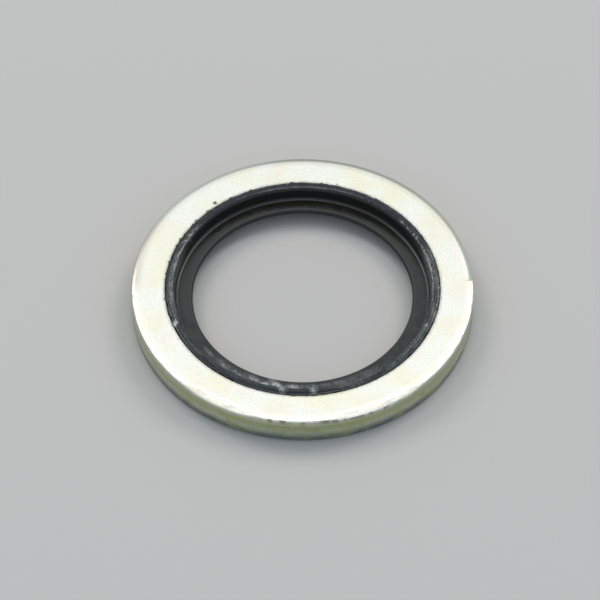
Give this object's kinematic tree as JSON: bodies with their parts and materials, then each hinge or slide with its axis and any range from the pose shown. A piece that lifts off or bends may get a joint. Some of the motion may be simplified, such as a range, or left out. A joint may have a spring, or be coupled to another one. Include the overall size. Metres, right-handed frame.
{
  "type": "bonded sealing washer",
  "caption": "Flat steel washer with a rubber sealing ring bonded into its bore, whose thin inner web centres it on a thread and whose lips seal against a flat face.",
  "frame": {"origin": "on the washer's axis, in the plane that it lies on, at the crest of the lower lip", "axes": "+Z along the washer's axis, up from the surface it lies on; the die-rolled face of the steel is uppermost"},
  "size_m": [0.0238, 0.0238, 0.0023],
  "materials": {
    "zinc_plated_steel": "bright zinc plate with a clear passivate, finely grained by tumbling",
    "nitrile_rubber": "moulded black rubber, satin, with trimmed flash at the steel's edge"
  },
  "bodies": {
    "root": {"steel_ring": "zinc_plated_steel", "rubber_seal": "nitrile_rubber"}
  },
  "joints": []
}
